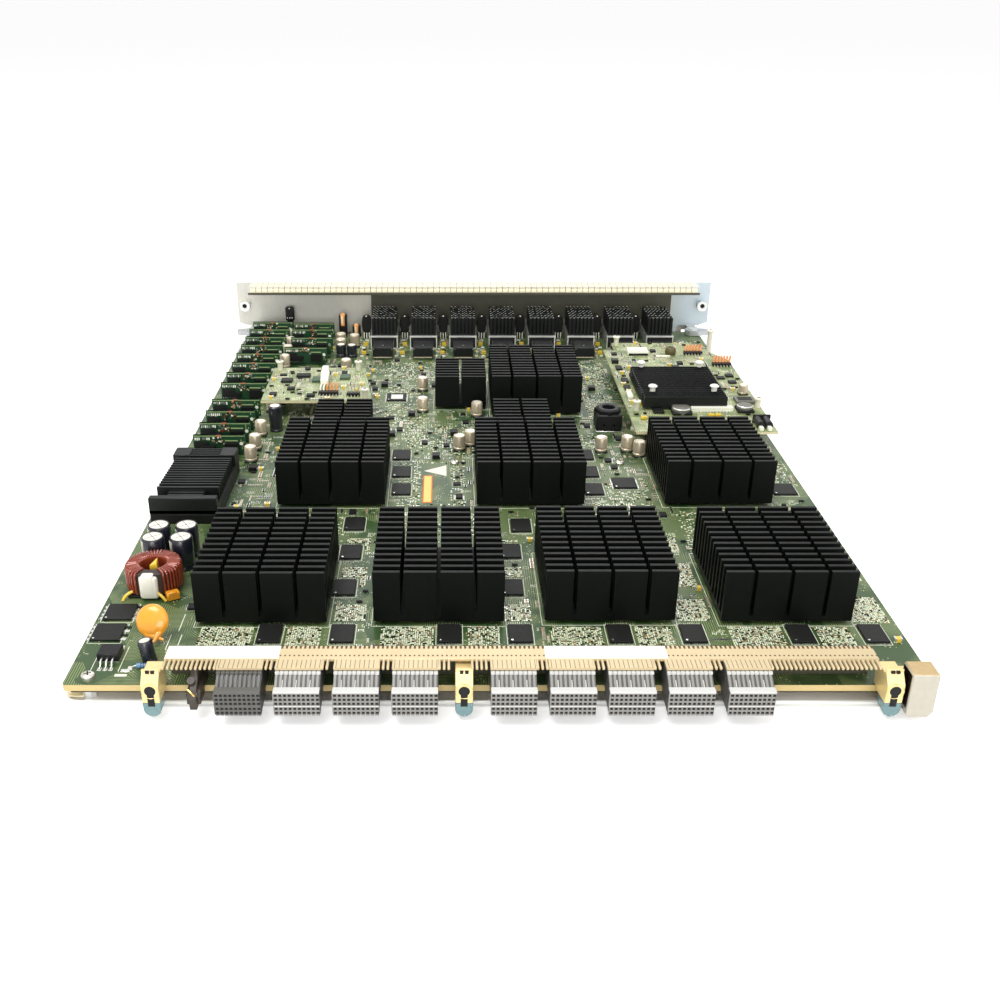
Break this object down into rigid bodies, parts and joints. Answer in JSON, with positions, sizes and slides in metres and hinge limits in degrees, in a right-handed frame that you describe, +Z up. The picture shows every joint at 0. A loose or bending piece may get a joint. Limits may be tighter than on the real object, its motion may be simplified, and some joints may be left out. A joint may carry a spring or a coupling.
{
  "type": "switch line card",
  "caption": "Plug-in switch line card: populated circuit board on a sheet tray, with fin heat sinks, backplane connectors, module cages, mezzanine boards and a front panel with ejector levers.",
  "frame": {"origin": "middle of the tray's flat underside", "axes": "+X along the front panel, +Y from the backplane connectors to the front panel, +Z up from the tray through the board"},
  "size_m": [0.399, 0.5485, 0.0525],
  "materials": {
    "black_anodised": "black anodised, satin",
    "black_moulding": "moulded black plastic",
    "black_sleeve": "shrink sleeve with an aluminium top",
    "cage_steel": "plated spring steel",
    "can_aluminium": "bare aluminium can",
    "circuit_board": "green solder mask over glass laminate",
    "contact_alloy": "plated spring fingers",
    "dark_connector_plastic": "dark grey moulding",
    "dark_key_plastic": "dark brown moulding",
    "enamelled_winding": "enamelled copper wire over a core",
    "end_casting": "machined casting",
    "grey_connector_plastic": "grey moulding with a light edge",
    "guide_casting": "yellow passivated casting",
    "lever_metal": "satin casting",
    "mezzanine_board": "pale green solder mask",
    "orange_epoxy": "dipped epoxy",
    "panel_metal": "satin sheet",
    "regulator_board": "green solder mask",
    "screw_steel": "plated steel",
    "stiffener_metal": "warm plated sheet",
    "tray_steel": "zinc plated sheet, satin",
    "white_nylon": "natural nylon"
  },
  "bodies": {
    "card": {"backplane_connector_1": "grey_connector_plastic", "backplane_connector_2": "grey_connector_plastic", "backplane_connector_3": "grey_connector_plastic", "backplane_connector_4": "grey_connector_plastic", "backplane_connector_5": "grey_connector_plastic", "backplane_connector_6": "grey_connector_plastic", "backplane_connector_7": "grey_connector_plastic", "backplane_connector_8": "grey_connector_plastic", "base_tray": "tray_steel", "board_screws": "screw_steel", "bulk_capacitors": "black_sleeve", "can_capacitors": "can_aluminium", "cased_choke": "black_moulding", "chip_packages": "black_moulding", "coding_key": "dark_key_plastic", "connector_stiffener": "stiffener_metal", "contact_gasket": "contact_alloy", "end_block": "end_casting", "far_heat_sink_1": "black_anodised", "filter_choke": "enamelled_winding", "front_panel": "panel_metal", "guide_block_left": "guide_casting", "guide_block_middle": "guide_casting", "guide_block_right": "guide_casting", "left_mezzanine": "mezzanine_board", "main_board": "circuit_board", "mezzanine_heat_sink": "black_anodised", "mezzanine_posts": "white_nylon", "middle_heat_sink_1": "black_anodised", "middle_heat_sink_2": "black_anodised", "middle_heat_sink_3": "black_anodised", "near_heat_sink_1": "black_anodised", "near_heat_sink_2": "black_anodised", "near_heat_sink_3": "black_anodised", "near_heat_sink_4": "black_anodised", "phy_heat_sinks": "black_anodised", "port_cage_1": "cage_steel", "port_cage_2": "cage_steel", "port_cage_3": "cage_steel", "port_cage_4": "cage_steel", "port_cage_5": "cage_steel", "port_cage_6": "cage_steel", "port_cage_7": "cage_steel", "port_cage_8": "cage_steel", "port_heat_sinks": "black_anodised", "port_lamps": "black_moulding", "power_connector": "dark_connector_plastic", "power_heat_sink": "black_anodised", "power_module": "black_moulding", "power_transistor": "black_moulding", "regulator_cards": "regulator_board", "right_mezzanine": "mezzanine_board", "small_heat_sink_1": "black_anodised", "small_heat_sink_2": "black_anodised", "small_heat_sink_3": "black_anodised", "surge_disc": "orange_epoxy"},
    "lever_left": {"ejector_lever_left": "lever_metal"},
    "screw_left": {"captive_screw_left": "screw_steel"},
    "lever_right": {"ejector_lever_right": "lever_metal"},
    "screw_right": {"captive_screw_right": "screw_steel"}
  },
  "joints": [
    {"name": "lever_left_hinge", "type": "hinge", "parent": "card", "child": "lever_left", "pos_m": [-0.186, 0.24725, 0.0125], "axis": [0, 0, 1], "range_deg": [0, 50]},
    {"name": "lever_right_hinge", "type": "hinge", "parent": "card", "child": "lever_right", "pos_m": [0.186, 0.24725, 0.0125], "axis": [0, 0, -1], "range_deg": [0, 50]},
    {"name": "screw_left_slide", "type": "slide", "parent": "card", "child": "screw_left", "axis": [0, -1, 0], "range_m": [0, 0.0045], "stiffness_N_per_m": 200},
    {"name": "screw_right_slide", "type": "slide", "parent": "card", "child": "screw_right", "axis": [0, -1, 0], "range_m": [0, 0.0045], "stiffness_N_per_m": 200}
  ]
}
